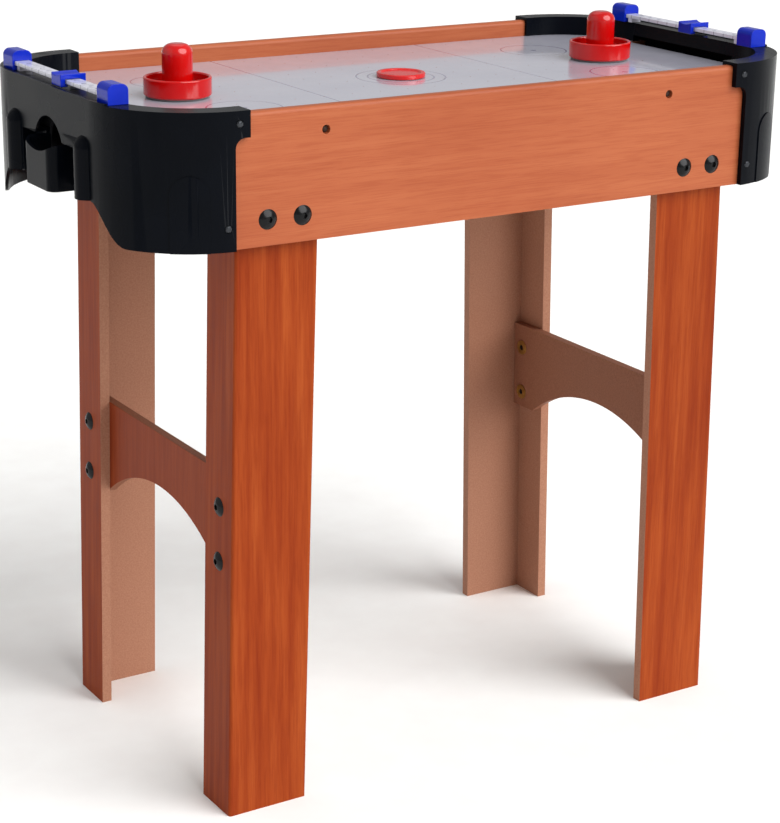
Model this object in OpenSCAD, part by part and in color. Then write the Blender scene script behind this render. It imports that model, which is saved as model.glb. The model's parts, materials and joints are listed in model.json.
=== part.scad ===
// Small air hockey table: foil-wrapped board panels and legs, moulded end caps,
// a drilled play board over a fan-fed air box, sliding scorers, pushers and a puck.
// Millimetres, +Z up, +X along the play. The origin is on the floor under the table's centre.

/* [Table] */
// Length over the two end faces
table_l = 730; // [724:1:736]
// Width over the end caps
table_w = 366; // [360:1:376]
// Height of the side panels' top edge above the floor
panel_top = 657; // [620:1:700]
// Height of the side panels
panel_h = 116; // [112:1:124]
// Thickness of the side panels
panel_t = 12; // [11:0.5:13]
// Radius of the side panels' top edges
panel_edge_r = 4; // [2:0.5:5]
// How far the play surface lies below the panels' top edge
surface_drop = 16.5; // [16:0.5:18]

/* [Legs] */
// Length over the legs' outer faces
leg_span = 560; // [540:1:564]
// Thickness of the leg boards
leg_t = 10; // [9:0.5:11]
// Width of the board along the table's side
leg_side_w = 80; // [74:1:90]
// Width of the board along the table's end
leg_end_w = 52; // [48:1:60]
// Outer corner radius of the folded leg
leg_corner_r = 3; // [2:0.5:4]
// How far the legs reach up behind the side panels
leg_overlap = 46; // [44:1:48]
// Lean of the legs towards the table's middle, in degrees
leg_lean = 1.3; // [0:0.1:1.6]

/* [Stretchers] */
// Height of the stretchers' top edge
stretcher_top = 323; // [300:1:360]
// Depth of the stretchers at their ends
stretcher_h = 95; // [90:1:110]
// Rise of the arch under each stretcher
arch_rise = 42; // [30:1:46]
// Half of the arch's width at its foot
arch_half = 118; // [105:1:120]
// Distance between the two bolts at each stretcher end
stretcher_bolt_gap = 52; // [44:1:60]

/* [End caps] */
// Outer corner radius of the caps, seen from above
corner_r = 96; // [94:1:98]
// Wall thickness of the moulding
shell_t = 3; // [2.5:0.5:3]
// Half width of the goal mouth
goal_half = 80; // [70:1:80]
// Height of the goal mouth above the play surface
goal_h = 6.5; // [6:0.5:9]
// Radius of the arched puck outlet
outlet_r = 32; // [30:0.5:34]
// Radius of the two half-round bosses beside the outlet
boss_r = 12; // [11:0.5:13]

/* [Play board] */
// Thickness of the drilled board
board_t = 9; // [8:0.5:9]
// Distance between air holes
hole_pitch = 30; // [28:1:40]
// Diameter of an air hole
hole_d = 1.2; // [1:0.1:1.6]

/* [Game pieces] */
// Diameter of the puck
puck_d = 47; // [44:1:50]
// Thickness of the puck
puck_t = 4.5; // [4:0.5:6]
// Diameter of a pusher's cup
pusher_d = 62; // [58:1:64]
// Height of a pusher's rim above its felt
pusher_rim_h = 17; // [14:1:20]
// Diameter of a pusher's handle
handle_d = 28; // [24:1:30]
// Height of a pusher's handle above its felt
handle_h = 46.5; // [44:0.5:56]
// Distance of the resting pushers from the table's centre
pusher_x = 238; // [200:1:250]

/* [Fan] */
// Side of the fan's square frame
fan_w = 80; // [78:1:84]
// Depth of the fan's frame
fan_h = 25; // [25:1:28]
// Number of fan blades
blade_count = 7; // [5:1:9]

/* [Hidden] */

$fn = 48;
eps = 0.01;

// Heights above the floor
panel_bottom = panel_top - panel_h;
surface_z = panel_top - surface_drop;
board_bottom = surface_z - board_t;
cap_top = panel_top + shell_t;
leg_top = panel_bottom + leg_overlap;

// Half widths and lengths
leg_y = table_w / 2 - 6 - panel_t;
panel_y = leg_y + panel_t;
leg_x = leg_span / 2;
end_x = table_l / 2;
half_w = table_w / 2;
corner_x = end_x - corner_r;
corner_y = half_w - corner_r;
main_edge_x = corner_x + 7;
tab_edge_x = main_edge_x - 14;
panel_half_l = main_edge_x + 16;
lap_end_x = panel_half_l + 4;
tab_h = 20;
tab_fillet_r = 9;
skin = 0.2;
inner_inset = half_w - leg_y + shell_t;
goal_wall_x = end_x - inner_inset + shell_t;
ridge_z = cap_top + 1.5;
ridge_half = 112;

// Bolts and screws
bolt_r = 3;
bolt_hole_r = 3.25;
bolt_head_r = 9;
bolt_head_h = 3.6;
bolt_socket_af = 5;
bolt_socket_depth = 2.4;
panel_bolt_x = [243, 209];
panel_bolt_z = panel_bottom + 23;
stretcher_bolt_y = leg_y - 26;
stretcher_bolt_mid = stretcher_top - 52;
screw_r = 1.75;
screw_head_r = 3.2;
side_screw_x = 186;
side_screw_z = board_bottom + board_t / 2;
side_screw_recess_r = 4;
side_screw_recess = 4;
cap_screw_seat = 0.6;
cap_screws_at = [[main_edge_x - 4, panel_top - 8], [main_edge_x + 7, panel_bottom + 20]];
nut_flange_r = 8;
nut_flange_t = 1.2;
nut_barrel_r = 4.4;

// Stretchers
stretcher_t = 9;
stretcher_gap = 1;

// Air box
box_half_l = 300;
batten_w = 14;
floor_t = 3;
air_box_h = 30;
floor_top = board_bottom - air_box_h;
floor_bottom = floor_top - floor_t;
duct_r = 35;
duct_t = 2;
fan_screw_off = 35.75;
floor_screws_x = [-240, -80, 80, 240];

// End face
skirt_rise = 34;
skirt_flat = 86;
skirt_end = 132;
boss_y = 73.5;
boss_x = end_x - 4;
boss_top = panel_bottom + 89;
boss_foot = panel_bottom + 31;
boss_depth = 11;
niche_half = 57;
niche_depth = 14;
niche_top = panel_bottom + 74;
niche_foot = panel_bottom + skirt_rise;
outlet_z = panel_bottom + 61;
outlet_foot = panel_bottom + 41;
pocket_half = 29.5;
pocket_out = 12;
pocket_corner_r = 9;
pocket_foot = panel_bottom + 31;
pocket_rim = panel_bottom + 72;
scoop_r = 58;
scoop_depth = 8;
relief_angle = 62;
relief_half = 17;
relief_top = panel_bottom + 66;
relief_t = 1;

// Goal boxes
goal_box_in = 302;
goal_box_t = 2.5;
goal_notch_x = end_x - 28;
goal_floor_flat = 24;
goal_floor_rise = 12;
goal_floor_in = 608;
goal_floor_out = 592;

// Scorers
score_x = end_x - 16;
post_screw_x = score_x + 5;
post_y = 102;
post_w = [19, 22, 17.5];
rail_w = 14;
rail_t = 3.5;
rail_z = cap_top + 4.5;
rail_half = 95;
rail_foot_y = 86;
slider_w = [24, 20, 11];
slider_rest = -12;
slider_slot = 0.3;

// Game pieces
air_gap = 0.3;
felt_t = 1.5;
pusher_wall = 3;
puck_rim_w = 4;
puck_dish = 1.2;

// Power
switch_box_x = 118;
switch_box_w = [46, 34, 22];
rocker_w = [13, 8.6, 7];
rocker_tilt = 9;
inlet_r = 5.5;
lead_r = 1.6;
lead_drop = 4.2;

// Half width of the cap at a place along X
function cap_y(x) = corner_y + sqrt(corner_r * corner_r - pow(max(0, x - corner_x), 2));

function arc(cx, cy, r, a0, a1, n) =
    [for (i = [0:n]) [cx + r * cos(a0 + (a1 - a0) * i / n), cy + r * sin(a0 + (a1 - a0) * i / n)]];

// Copies its children to the four corners by mirroring them about X and Y
module four_ways() {
    for (sx = [0, 1], sy = [0, 1])
        mirror([sx, 0, 0]) mirror([0, sy, 0]) children();
}

module both_ends() {
    for (sx = [0, 1]) mirror([sx, 0, 0]) children();
}

// Leans its children inwards about the outer edge of the right-hand feet
module leaning() {
    translate([leg_x, 0, 0]) rotate([0, -leg_lean, 0]) translate([-leg_x, 0, 0]) children();
}

// ---- Panels, legs and stretchers ----

// Front panel: its outer face looks along -Y
module side_panel() {
    r = panel_edge_r;
    outline = concat(
        [[0, 0], [panel_t, 0]],
        arc(panel_t - r, panel_h - r, r, 0, 90, 6),
        arc(r, panel_h - r, r, 90, 180, 6));
    color("#C4704F")
    difference() {
        translate([-panel_half_l, -panel_y, panel_bottom])
            rotate([90, 0, 90]) linear_extrude(2 * panel_half_l) polygon(outline);
        both_ends() {
            for (x = panel_bolt_x)
                translate([x, -panel_y - 1, panel_bolt_z])
                    rotate([-90, 0, 0]) cylinder(r = bolt_hole_r, h = panel_t + 2);
            translate([side_screw_x, -panel_y - 1, side_screw_z]) rotate([-90, 0, 0]) {
                cylinder(r = screw_r + 0.2, h = panel_t + 2);
                cylinder(r = side_screw_recess_r, h = side_screw_recess + 1);
            }
            for (at = cap_screws_at)
                translate([at[0], -panel_y - 1, at[1]])
                    rotate([-90, 0, 0]) cylinder(r = screw_r, h = 11);
        }
    }
}

// Leg at the front right corner: two boards folded round a V-groove
module leg() {
    r = leg_corner_r;
    outline = concat(
        [[leg_x - leg_side_w, -leg_y]],
        arc(leg_x - r, -leg_y + r, r, -90, 0, 6),
        [[leg_x, -leg_y + leg_end_w],
         [leg_x - leg_t, -leg_y + leg_end_w],
         [leg_x - leg_t, -leg_y + leg_t],
         [leg_x - leg_side_w, -leg_y + leg_t]]);
    color("#C4704F")
    difference() {
        leaning() difference() {
            linear_extrude(leg_top) polygon(outline);
            for (s = [-1, 1])
                translate([leg_x - leg_t - 1, -stretcher_bolt_y, stretcher_bolt_mid + s * stretcher_bolt_gap / 2])
                    rotate([0, 90, 0]) cylinder(r = bolt_hole_r, h = leg_t + 2);
        }
        // the feet are cut level with the floor
        translate([leg_x - leg_side_w - 10, -leg_y - 1, -10]) cube([leg_side_w + 20, leg_end_w + 2, 10]);
        for (x = panel_bolt_x)
            translate([x, -leg_y - 1, panel_bolt_z])
                rotate([-90, 0, 0]) cylinder(r = nut_barrel_r + 0.1, h = leg_t + 2);
    }
}

// Stretcher at the right end: a board with an arch cut from its lower edge
module stretcher() {
    half = leg_y - leg_t - stretcher_gap;
    foot = stretcher_top - stretcher_h;
    arch_r = (arch_half * arch_half + arch_rise * arch_rise) / (2 * arch_rise);
    x0 = leg_x - leg_t - stretcher_t;
    color("#8A4030")
    leaning() difference() {
        translate([x0, -half, foot]) cube([stretcher_t, 2 * half, stretcher_h]);
        translate([x0 - 1, 0, foot + arch_rise - arch_r])
            rotate([0, 90, 0]) cylinder(r = arch_r, h = stretcher_t + 2, $fn = 180);
        for (sy = [-1, 1], sz = [-1, 1])
            translate([x0 - 1, sy * stretcher_bolt_y, stretcher_bolt_mid + sz * stretcher_bolt_gap / 2])
                rotate([0, 90, 0]) cylinder(r = nut_barrel_r + 0.1, h = stretcher_t + 2);
    }
}

// Button-head bolt along +Z, with its head's underside at z = 0
module button_bolt(shank) {
    crown_r = (bolt_head_r * bolt_head_r + bolt_head_h * bolt_head_h) / (2 * bolt_head_h);
    crown = arc(0, crown_r - bolt_head_h, crown_r, -90, -90 + asin(bolt_head_r / crown_r), 8);
    difference() {
        union() {
            rotate_extrude() polygon(concat([[0, 0]], crown));
            translate([0, 0, -eps]) cylinder(r = bolt_r, h = shank);
        }
        translate([0, 0, -bolt_head_h - 1])
            cylinder(d = bolt_socket_af / cos(30), h = bolt_socket_depth + 1, $fn = 6);
    }
}

// Tee nut pressed in from the inside: the barrel points along -Z, towards the bolt head
module tee_nut(barrel) {
    difference() {
        union() {
            cylinder(r = nut_flange_r, h = nut_flange_t);
            translate([0, 0, -barrel]) cylinder(r = nut_barrel_r, h = barrel + eps);
        }
        translate([0, 0, -barrel - 1]) cylinder(r = bolt_r + 0.05, h = barrel + nut_flange_t + 2);
    }
}

module leg_bolts() {
    color("#141416")
    four_ways() for (x = panel_bolt_x)
        translate([x, -panel_y, panel_bolt_z]) rotate([-90, 0, 0]) button_bolt(panel_t + leg_t + 1);
}

module leg_nuts() {
    color("#B99A4A")
    four_ways() for (x = panel_bolt_x)
        translate([x, -leg_y + leg_t, panel_bolt_z]) rotate([-90, 0, 0]) tee_nut(leg_t - 1);
}

module stretcher_bolts() {
    color("#141416")
    four_ways() leaning() for (s = [-1, 1])
        translate([leg_x, -stretcher_bolt_y, stretcher_bolt_mid + s * stretcher_bolt_gap / 2])
            rotate([0, -90, 0]) button_bolt(leg_t + stretcher_t + 0.8);
}

module stretcher_nuts() {
    color("#B99A4A")
    four_ways() leaning() for (s = [-1, 1])
        translate([leg_x - leg_t - stretcher_t, -stretcher_bolt_y,
                   stretcher_bolt_mid + s * stretcher_bolt_gap / 2])
            rotate([0, -90, 0]) tee_nut(stretcher_t - 1);
}

// Pan-head screw along +Z, with its head's underside at z = 0
module pan_screw(shank) {
    rotate_extrude($fn = 32)
        polygon([[0, -2.2], [screw_head_r * 0.7, -2], [screw_head_r, -0.9], [screw_head_r, 0],
                 [screw_r - 0.1, 0], [screw_r - 0.1, shank - 2], [0, shank]]);
}

module side_screws() {
    color("#2A1C18")
    four_ways() translate([side_screw_x, -panel_y + side_screw_recess, side_screw_z])
        rotate([-90, 0, 0]) pan_screw(panel_t - side_screw_recess + 14);
}

module cap_screws() {
    color("#202226")
    four_ways() for (at = cap_screws_at)
        translate([at[0], -cap_y(at[0]) + cap_screw_seat, at[1]]) rotate([-90, 0, 0]) pan_screw(13.5);
}

// ---- End caps ----

// Plan of the cap's rounded end, shrunk by inset, starting back further inside its tabs' edge
module cap_plan(inset, back) {
    x0 = tab_edge_x - back;
    r = corner_r - inset;
    w = half_w - inset;
    polygon(concat(
        [[x0, -w]],
        arc(corner_x, -corner_y, r, -90, 0, 20),
        arc(corner_x, corner_y, r, 0, 90, 20),
        [[x0, w]]));
}

// Side view of the cap, on X and Z, as far as x1: a main edge, a fillet and a tab at the top
module cap_outline(x1) {
    fillet_z = panel_top - tab_h;
    polygon(concat(
        [[x1, panel_bottom], [main_edge_x, panel_bottom]],
        arc(main_edge_x - tab_fillet_r, fillet_z - tab_fillet_r, tab_fillet_r, 0, 90, 6),
        [[tab_edge_x, fillet_z], [tab_edge_x, cap_top], [x1, cap_top]]));
}

// Upright prism on the cap's plan, between the heights z0 and z1
module cap_block(inset, back, z0, z1) {
    translate([0, 0, z0]) linear_extrude(z1 - z0) cap_plan(inset, back);
}

// Block across the cap's end, half wide on each side of its middle
module across(half, z0, z1) {
    translate([corner_x, -half, z0]) cube([corner_r + 10, 2 * half, z1 - z0]);
}

// Lower edge of the cap's end, on Y and Z: raised in the middle, with a soft slope to each corner
module skirt_cut() {
    slope = [for (i = [0:10])
        [skirt_flat + (skirt_end - skirt_flat) * i / 10,
         panel_bottom - eps + skirt_rise * (1 + cos(180 * i / 10)) / 2]];
    mirrored = [for (i = [10:-1:0]) [-slope[i][0], slope[i][1]]];
    polygon(concat(mirrored, slope, [[skirt_end, panel_bottom - 10], [-skirt_end, panel_bottom - 10]]));
}

// Extrudes a shape drawn on Y and Z along +X, from x0 to x1
module along_x(x0, x1) {
    translate([x0, 0, 0]) rotate([90, 0, 90]) linear_extrude(x1 - x0) children();
}

// Extrudes a shape drawn on X and Z along +Y, from y0 to y1
module along_y(y0, y1) {
    translate([0, y1, 0]) rotate([90, 0, 0]) linear_extrude(y1 - y0) children();
}

// Arch on Y and Z: straight sides from foot up to spring, and a half circle on top
module arch_shape(r, foot, spring) {
    polygon(concat([[-r, foot], [r, foot]], arc(0, spring, r, 0, 180, 24)));
}

module cap_shell() {
    difference() {
        union() {
            // outer skirt and top over the hollow that takes the panels' ends
            difference() {
                intersection() {
                    cap_block(0, 0, panel_bottom, cap_top);
                    along_y(-half_w - 1, half_w + 1) cap_outline(end_x + 1);
                }
                cap_block(shell_t, 1, panel_bottom - 1, panel_top);
                cap_block(inner_inset, 1, panel_bottom - 1, cap_top + 1);
            }
            // inner skirt, standing on the play board
            difference() {
                cap_block(inner_inset - shell_t, 0, surface_z + skin, panel_top + 1);
                cap_block(inner_inset, 1, surface_z - 1, panel_top + 2);
            }
            // laps that fill the space between the skirt and a panel
            for (s = [0, 1]) mirror([0, s, 0]) intersection() {
                along_y(-half_w, -panel_y - skin) cap_outline(lap_end_x);
                cap_block(0, 0, panel_bottom, cap_top);
            }
            // low ridge behind the scorer
            difference() {
                intersection() {
                    cap_block(0, 0, panel_top, ridge_z);
                    across(ridge_half, panel_top, ridge_z);
                }
                cap_block(shell_t, 1, panel_top - 1, ridge_z + 1);
            }
            // half-round bosses with domed tops
            for (s = [-1, 1]) difference() {
                translate([boss_x, s * boss_y, 0]) {
                    translate([0, 0, boss_foot]) cylinder(r = boss_r, h = boss_top - boss_r - boss_foot);
                    translate([0, 0, boss_top - boss_r]) sphere(r = boss_r);
                }
                translate([corner_x, -half_w, boss_foot - 1])
                    cube([corner_r - boss_depth, table_w, panel_h]);
            }
            // corner reliefs
            for (s = [0, 1]) mirror([0, s, 0]) intersection() {
                translate([corner_x, -corner_y, panel_bottom])
                    cylinder(r = corner_r + relief_t, h = panel_h, $fn = 96);
                translate([corner_x, -corner_y, 0]) rotate([0, 0, -relief_angle])
                    along_x(corner_r - 2, corner_r + 5)
                        arch_shape(relief_half, panel_bottom, relief_top - relief_half);
            }
        }
        along_x(end_x - 30, end_x + 30) skirt_cut();
        // niche between the bosses, goal mouth and the bosses' hollow feet
        translate([end_x - shell_t - 20, -niche_half, niche_foot - 20])
            cube([40, 2 * niche_half, niche_top - niche_foot + 20]);
        translate([goal_wall_x - 10, -goal_half, surface_z - 1]) cube([13, 2 * goal_half, goal_h + 1]);
        for (s = [-1, 1]) translate([boss_x, s * boss_y, boss_foot - 1])
            cylinder(r = boss_r - shell_t, h = boss_top - boss_r - boss_foot);
        outlet_cut();
    }
}

// The arched way out for the puck, through the end wall and the niche
module outlet_cut() {
    along_x(end_x - 30, end_x + 30) arch_shape(outlet_r, outlet_foot, outlet_z);
}

module cap_niche() {
    back_x = end_x - niche_depth;
    plate_x = end_x - shell_t + eps;
    difference() {
        union() {
            translate([back_x, -niche_half - 1, niche_foot])
                cube([shell_t, 2 * niche_half + 2, niche_top - niche_foot + 1]);
            // the roof reaches under the whole goal mouth
            translate([back_x, -goal_half, niche_top]) cube([plate_x - back_x, 2 * goal_half, shell_t]);
            for (s = [0, 1]) mirror([0, s, 0])
                translate([back_x, niche_half, niche_foot])
                    cube([plate_x - back_x, shell_t, niche_top - niche_foot + shell_t]);
        }
        outlet_cut();
    }
}

// Box-like cup with a scooped rim that catches the returned puck
module cap_pocket() {
    back_x = end_x - niche_depth;
    difference() {
        pocket_block(0, pocket_foot, pocket_rim);
        pocket_block(shell_t, pocket_foot + shell_t, pocket_rim + 1);
        translate([back_x - 1, 0, pocket_rim - scoop_depth + scoop_r])
            rotate([0, 90, 0]) cylinder(r = scoop_r, h = 60, $fn = 120);
    }
}

// Prism on the pocket's plan, shrunk by inset but for its open back
module pocket_block(inset, z0, z1) {
    back_x = end_x - niche_depth - (inset > 0 ? 1 : 0);
    w = pocket_half - inset;
    x1 = end_x + pocket_out - inset;
    r = pocket_corner_r - inset;
    translate([0, 0, z0]) linear_extrude(z1 - z0) polygon(concat(
        [[back_x, -w]],
        arc(x1 - r, -w + r, r, -90, 0, 8),
        arc(x1 - r, w - r, r, 0, 90, 8),
        [[back_x, w]]));
}

module end_cap() {
    color("#1C1D20")
    difference() {
        union() {
            cap_shell();
            cap_niche();
            cap_pocket();
        }
        for (s = [0, 1]) mirror([0, s, 0]) {
            for (at = cap_screws_at)
                translate([at[0], -cap_y(at[0]) + cap_screw_seat, at[1]]) rotate([-90, 0, 0]) {
                    cylinder(r = screw_r + 0.2, h = 9);
                    translate([0, 0, -3]) cylinder(r = screw_head_r + 0.3, h = 3);
                }
            translate([post_screw_x, post_y, cap_top - 10]) cylinder(r = screw_r + 0.2, h = 20);
        }
    }
}

// Tray that leads a scored puck to the middle, down and out through the outlet
module goal_box() {
    t = goal_box_t;
    half = goal_half + t;
    out_x = end_x - niche_depth - 0.5;
    foot = goal_floor_out - t - 1;
    color("#2A2B2E")
    difference() {
        intersection() {
            along_y(-half, half)
                polygon([[goal_box_in, goal_floor_in - t], [out_x, goal_floor_out - t],
                         [out_x, board_bottom - skin], [goal_box_in, board_bottom - skin]]);
            along_x(goal_box_in - 1, out_x + 1)
                polygon([[-goal_floor_flat, foot], [goal_floor_flat, foot],
                         [half, foot + goal_floor_rise], [half, board_bottom], [-half, board_bottom],
                         [-half, foot + goal_floor_rise]]);
        }
        intersection() {
            along_y(-goal_half, goal_half)
                polygon([[goal_box_in + t, goal_floor_in], [out_x - t, goal_floor_out],
                         [out_x - t, board_bottom + 1], [goal_box_in + t, board_bottom + 1]]);
            along_x(goal_box_in, out_x)
                polygon([[-goal_floor_flat, goal_floor_out - 1], [goal_floor_flat, goal_floor_out - 1],
                         [goal_half, goal_floor_out + goal_floor_rise], [goal_half, board_bottom + 2],
                         [-goal_half, board_bottom + 2], [-goal_half, goal_floor_out + goal_floor_rise]]);
        }
        intersection() {
            along_x(out_x - t - 1, out_x + 1) arch_shape(outlet_r, goal_floor_out, outlet_z);
            translate([out_x - t - 1, -outlet_r, goal_floor_out])
                cube([t + 2, 2 * outlet_r, board_bottom - goal_floor_out - 3]);
        }
    }
}

// ---- Play board and air box ----

module play_board() {
    gap = 0.4;
    w = leg_y - gap;
    r = corner_r - 19;
    x_end = end_x - shell_t - 1;
    rows = floor((leg_y - 14) / hole_pitch);
    cols = floor((box_half_l - 16) / hole_pitch);
    color("#D4D4E0")
    difference() {
        translate([0, 0, board_bottom]) linear_extrude(board_t)
            polygon(concat(
                arc(x_end - r, -w + r, r, -90, 0, 16),
                [[x_end, -goal_half], [goal_notch_x, -goal_half],
                 [goal_notch_x, goal_half], [x_end, goal_half]],
                arc(x_end - r, w - r, r, 0, 90, 16),
                arc(-x_end + r, w - r, r, 90, 180, 16),
                [[-x_end, goal_half], [-goal_notch_x, goal_half],
                 [-goal_notch_x, -goal_half], [-x_end, -goal_half]],
                arc(-x_end + r, -w + r, r, 180, 270, 16)));
        for (i = [-cols:cols], j = [-rows:rows])
            translate([i * hole_pitch, j * hole_pitch, board_bottom - 1])
                cylinder(d = hole_d, h = board_t + 2, $fn = 16);
        four_ways() translate([side_screw_x, -w - 1, side_screw_z])
            rotate([-90, 0, 0]) cylinder(r = screw_r, h = 16);
    }
}

module batten_long() {
    color("#B88A5C")
    difference() {
        translate([-box_half_l, -leg_y + skin, floor_top])
            cube([2 * box_half_l, batten_w, air_box_h]);
        for (x = floor_screws_x) translate([x, -leg_y + batten_w / 2, floor_top - 1])
            cylinder(r = screw_r, h = 14);
    }
}

module batten_cross() {
    color("#B88A5C")
    difference() {
        translate([box_half_l - batten_w, -leg_y + batten_w + 2 * skin, floor_top])
            cube([batten_w, 2 * (leg_y - batten_w - 2 * skin), air_box_h]);
        translate([box_half_l - batten_w / 2, 0, floor_top - 1]) cylinder(r = screw_r, h = 14);
    }
}

module floor_screw_places() {
    for (s = [-1, 1], x = floor_screws_x)
        translate([x, s * (leg_y - batten_w / 2), floor_bottom]) children();
    for (s = [-1, 1]) translate([s * (box_half_l - batten_w / 2), 0, floor_bottom]) children();
}

module fan_screw_places() {
    for (sx = [-1, 1], sy = [-1, 1])
        translate([sx * fan_screw_off, sy * fan_screw_off, 0]) children();
}

module air_box_floor() {
    color("#A9784E")
    difference() {
        translate([-box_half_l, -leg_y + skin, floor_bottom])
            cube([2 * box_half_l, 2 * (leg_y - skin), floor_t]);
        translate([0, 0, floor_bottom - 1]) cylinder(r = duct_r, h = floor_t + 2, $fn = 96);
        floor_screw_places() translate([0, 0, -1]) cylinder(r = screw_r + 0.2, h = floor_t + 2);
        fan_screw_places() translate([0, 0, floor_bottom - 1]) cylinder(r = screw_r, h = floor_t + 2);
        translate([switch_box_x, 0, floor_bottom - 1]) cylinder(r = 2, h = floor_t + 2);
    }
}

module floor_screws() {
    color("#C9B068")
    floor_screw_places() pan_screw(floor_t + 12);
}

// ---- Fan, hung under the air box ----

fan_top = floor_bottom;
fan_bottom = fan_top - fan_h;

module fan_frame() {
    guard_t = 1.5;
    lug = 9;
    color("#1A1A1C")
    difference() {
        union() {
            for (z = [fan_bottom, fan_top - 4])
                translate([-fan_w / 2, -fan_w / 2, z]) cube([fan_w, fan_w, 4]);
            translate([0, 0, fan_bottom]) cylinder(r = duct_r + duct_t, h = fan_h, $fn = 96);
        }
        translate([0, 0, fan_bottom - 1]) cylinder(r = duct_r, h = fan_h + 2, $fn = 96);
        fan_screw_places() translate([0, 0, fan_bottom - 1]) cylinder(r = screw_r + 0.3, h = fan_h + 2);
    }
    // four arms and the plate that carries the motor
    color("#1A1A1C") {
        translate([0, 0, fan_bottom]) cylinder(r = 15, h = guard_t + 1);
        for (a = [45:90:315]) rotate([0, 0, a])
            translate([14, -1.5, fan_bottom]) cube([duct_r - 13, 3, 2.5]);
    }
}

module fan_motor() {
    color("#B56A2A")
    translate([0, 0, fan_bottom + 2.5]) {
        difference() {
            cylinder(r = 10.5, h = 9);
            for (a = [0:60:300]) rotate([0, 0, a]) translate([9.5, 0, -1]) cylinder(r = 1.6, h = 11, $fn = 16);
        }
        cylinder(r = 1.5, h = 14);
    }
}

module fan_rotor() {
    hub_r = 14;
    hub_z = fan_bottom + 3.5;
    tip_r = duct_r - 1.5;
    blade_pitch = 38;
    color("#2B2B2E")
    difference() {
        union() {
            translate([0, 0, hub_z]) cylinder(r = hub_r, h = 17);
            intersection() {
                for (i = [0:blade_count - 1]) rotate([0, 0, 360 * i / blade_count])
                    translate([hub_r - 1, 0, hub_z + 8.5]) rotate([blade_pitch, 0, 0])
                        translate([0, -11, -0.8]) cube([tip_r, 22, 1.6]);
                translate([0, 0, hub_z]) cylinder(r = tip_r, h = 17, $fn = 96);
            }
        }
        translate([0, 0, hub_z - 1]) cylinder(r = 12, h = 12);
        translate([0, 0, hub_z]) cylinder(r = 1.55, h = 14);
    }
}

// Wire guard below the fan: rings on a cross, held by the fan's four screws
module fan_guard() {
    wire = 1.6;
    z = fan_bottom - wire;
    color("#C8CACD")
    difference() {
        union() {
            for (r = [9, 18, 27, 36]) translate([0, 0, z]) difference() {
                cylinder(r = r + wire / 2, h = wire, $fn = 72);
                translate([0, 0, -1]) cylinder(r = r - wire / 2, h = wire + 2, $fn = 72);
            }
            for (a = [45, 135]) rotate([0, 0, a])
                translate([-fan_screw_off * sqrt(2), -wire / 2, z]) cube([2 * fan_screw_off * sqrt(2), wire, wire]);
            fan_screw_places() translate([0, 0, z]) cylinder(r = 4, h = wire);
        }
        fan_screw_places() translate([0, 0, z - 1]) cylinder(r = screw_r + 0.2, h = wire + 2);
    }
}

module fan_screws() {
    color("#C8CACD")
    fan_screw_places() translate([0, 0, fan_bottom - 1.6]) pan_screw(fan_h + floor_t + 3);
}

// ---- Switch, inlet and the fan's lead ----

module switch_box() {
    w = switch_box_w;
    t = 2;
    color("#1C1D20")
    difference() {
        translate([switch_box_x - w[0] / 2, -w[1] / 2, floor_bottom - w[2]]) cube(w);
        translate([switch_box_x - w[0] / 2 + t, -w[1] / 2 + t, floor_bottom - w[2] + t])
            cube([w[0] - 2 * t, w[1] - 2 * t, w[2]]);
        translate([switch_box_x - 8 - rocker_w[0] / 2 - 0.4, -rocker_w[1] / 2 - 0.4, floor_bottom - w[2] - 1])
            cube([rocker_w[0] + 0.8, rocker_w[1] + 0.8, t + 2]);
        translate([switch_box_x + 11, 0, floor_bottom - w[2] - 1]) cylinder(r = inlet_r + 0.1, h = t + 2);
        translate([switch_box_x - w[0] / 2 - 1, 0, floor_bottom - lead_drop - lead_r])
            rotate([0, 90, 0]) cylinder(r = lead_r + 0.2, h = t + 2);
    }
}

module power_switch() {
    x = switch_box_x - 8;
    z = floor_bottom - switch_box_w[2] + 3.5;
    color("#B01818")
    translate([x, 0, z]) rotate([0, -rocker_tilt, 0]) difference() {
        translate([-rocker_w[0] / 2 + 0.5, -rocker_w[1] / 2, -5.5]) cube([rocker_w[0] - 1, rocker_w[1], rocker_w[2]]);
        translate([0, 0, -19.5]) rotate([90, 0, 0]) cylinder(r = 15, h = 30, center = true, $fn = 96);
    }
}

module power_inlet() {
    z = floor_bottom - switch_box_w[2];
    color("#0F0F10")
    translate([switch_box_x + 11, 0, z]) difference() {
        union() {
            translate([0, 0, -1.6]) cylinder(r = inlet_r + 1.6, h = 1.6);
            cylinder(r = inlet_r, h = 12);
        }
        translate([0, 0, -2.6]) difference() {
            cylinder(r = 2.9, h = 11);
            cylinder(r = 1, h = 12);
        }
    }
}

// The lead runs straight from the fan's duct to the switch box, under the frame's upper flange
module fan_lead() {
    x0 = duct_r + duct_t + skin;
    x1 = switch_box_x - switch_box_w[0] / 2 + 4;
    color("#8C1C1C")
    translate([x0, 0, floor_bottom - lead_drop - lead_r])
        rotate([0, 90, 0]) cylinder(r = lead_r, h = x1 - x0, $fn = 24);
}

module lead_clips() {
    x0 = (fan_w / 2 + switch_box_x - switch_box_w[0] / 2) / 2;
    color("#E6E6E2")
    translate([x0, 0, 0]) difference() {
        translate([-3, -8, floor_bottom - lead_drop - 2 * lead_r - 1.5])
            cube([6, 16, lead_drop + 2 * lead_r + 1.5]);
        translate([-4, 0, floor_bottom - lead_drop - lead_r])
            rotate([0, 90, 0]) cylinder(r = lead_r + 0.05, h = 8, $fn = 24);
        for (s = [0, 1]) mirror([0, s, 0])
            translate([-4, 3.4, floor_bottom - lead_drop - 2 * lead_r - 3]) cube([8, 10, lead_drop + 2 * lead_r + 1.2]);
    }
}

// ---- Scorers ----

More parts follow.
